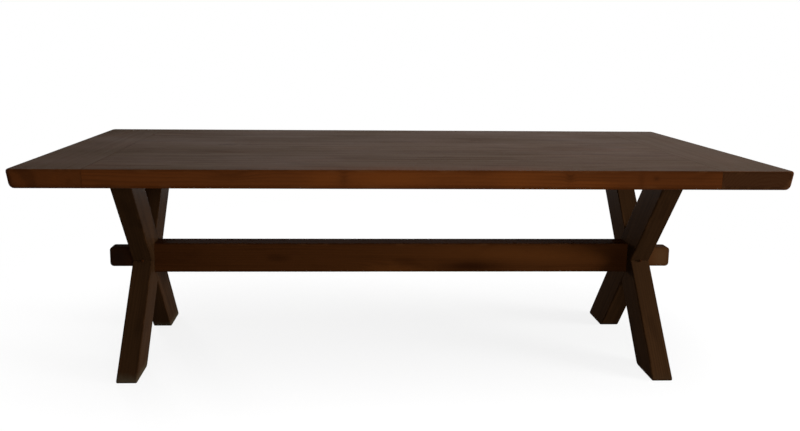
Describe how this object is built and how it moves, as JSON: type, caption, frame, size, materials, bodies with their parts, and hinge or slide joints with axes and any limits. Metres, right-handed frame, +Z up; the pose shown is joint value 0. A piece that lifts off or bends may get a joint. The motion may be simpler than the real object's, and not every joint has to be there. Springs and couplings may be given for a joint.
{
  "type": "sawbuck table",
  "caption": "Long dining table with a thick plank top and cross boards at its ends, on crossed half-lapped legs joined by a stretcher with pegged through tenons.",
  "frame": {"origin": "on the floor, under the middle of the top", "axes": "+X along the table, towards the right end seen from the front; +Y from the front edge to the rear edge; +Z up"},
  "size_m": [2.3986, 1, 0.775],
  "materials": {
    "plank_wood": "dark stained wood under satin varnish, long grain",
    "end_board_wood": "dark stained wood under satin varnish, grain across the table",
    "trestle_wood": "dark stained wood under satin varnish, grain along each piece",
    "peg_wood": "dark stained hardwood, turned",
    "screw_steel": "dulled zinc-plated steel"
  },
  "bodies": {
    "root": {"front_edge_plank": "plank_wood", "front_inner_plank": "plank_wood", "middle_plank": "plank_wood", "rear_inner_plank": "plank_wood", "rear_edge_plank": "plank_wood", "left_end_board": "end_board_wood", "right_end_board": "end_board_wood", "plank_spline_1": "peg_wood", "plank_spline_2": "peg_wood", "plank_spline_3": "peg_wood", "plank_spline_4": "peg_wood", "left_end_pegs": "peg_wood", "right_end_pegs": "peg_wood", "left_front_leg": "trestle_wood", "left_rear_leg": "trestle_wood", "right_front_leg": "trestle_wood", "right_rear_leg": "trestle_wood", "left_bearer": "trestle_wood", "right_bearer": "trestle_wood", "left_bearer_pegs": "peg_wood", "right_bearer_pegs": "peg_wood", "left_bearer_screws": "screw_steel", "right_bearer_screws": "screw_steel", "left_bearer_washers": "screw_steel", "right_bearer_washers": "screw_steel", "stretcher": "trestle_wood", "left_tenon_peg": "peg_wood", "right_tenon_peg": "peg_wood"}
  },
  "joints": []
}
